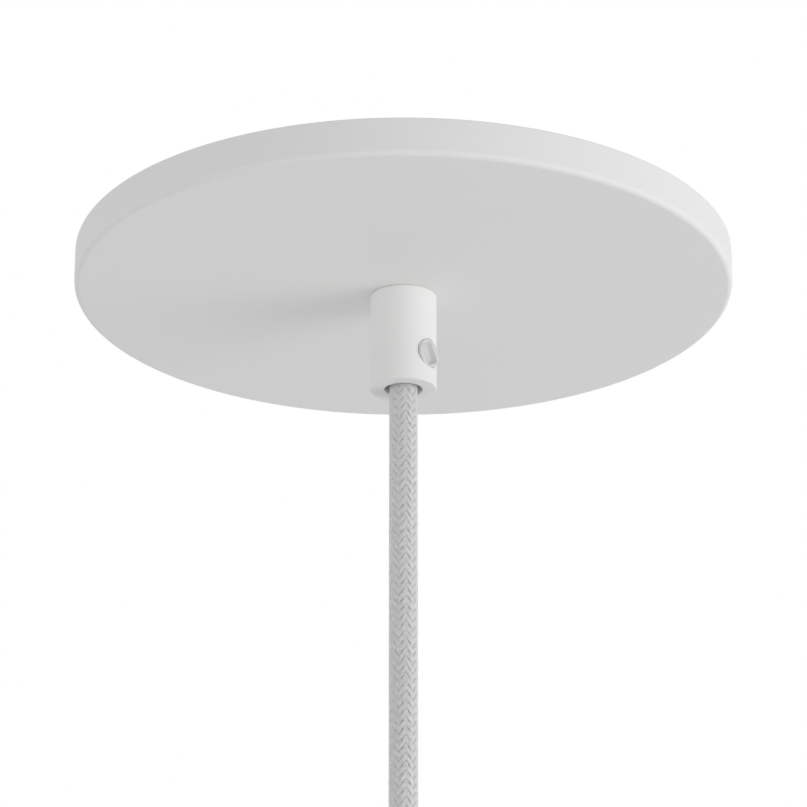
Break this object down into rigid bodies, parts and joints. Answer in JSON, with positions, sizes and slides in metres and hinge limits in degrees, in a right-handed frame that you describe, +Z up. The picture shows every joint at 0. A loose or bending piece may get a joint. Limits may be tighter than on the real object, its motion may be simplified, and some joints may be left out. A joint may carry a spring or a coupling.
{
  "type": "ceiling canopy",
  "caption": "Flat round ceiling canopy with a cylindrical cord grip, clear grub screw, ceiling crossbar, earth screw, terminal block and a taut braided pendant cord.",
  "frame": {"origin": "centre of the ceiling plane that the canopy's rim and the crossbar's top face bear on", "axes": "+Z up through the ceiling, along the nipple and cord; -Y is the near side in the picture; +X runs along the crossbar to its earth screw"},
  "size_m": [0.15, 0.15, 0.2208],
  "materials": {
    "white_paint": "fine matt white powder coat",
    "clear_plastic": "clear moulded nylon",
    "zinc_steel": "bright zinc plate",
    "brass": "plain turned",
    "tinned_copper": "tinned",
    "grey_braid": "light grey textile braid",
    "black_plastic": "moulded",
    "white_plastic": "moulded",
    "brown_insulation": "smooth extruded",
    "blue_insulation": "smooth extruded",
    "earth_insulation": "smooth extruded, green with a yellow stripe"
  },
  "bodies": {
    "root": {"canopy_pan": "white_paint", "crossbar": "zinc_steel", "nipple": "zinc_steel", "nipple_lock_washer": "zinc_steel", "nipple_lock_nut": "zinc_steel", "nipple_bushing": "black_plastic", "cord_grip_body": "white_paint", "cord_grip_screw": "clear_plastic", "earth_ring_terminal": "tinned_copper", "earth_cup_washer": "brass", "earth_screw": "brass", "terminal_housing": "white_plastic", "terminal_busbar_neutral": "tinned_copper", "terminal_busbar_live": "tinned_copper", "cord": "grey_braid", "core_neutral": "blue_insulation", "core_live": "brown_insulation", "core_earth": "earth_insulation", "tail_neutral": "blue_insulation", "tail_live": "brown_insulation", "tail_earth": "earth_insulation", "core_sleeve_neutral": "blue_insulation", "core_sleeve_live": "brown_insulation", "tail_sleeve_neutral": "blue_insulation", "tail_sleeve_live": "brown_insulation", "tail_sleeve_earth": "earth_insulation", "lamp_grip_body": "white_paint", "lamp_grip_screw": "clear_plastic", "lamp_nipple": "zinc_steel", "lamp_washer": "zinc_steel", "lamp_nut": "zinc_steel"}
  },
  "joints": []
}
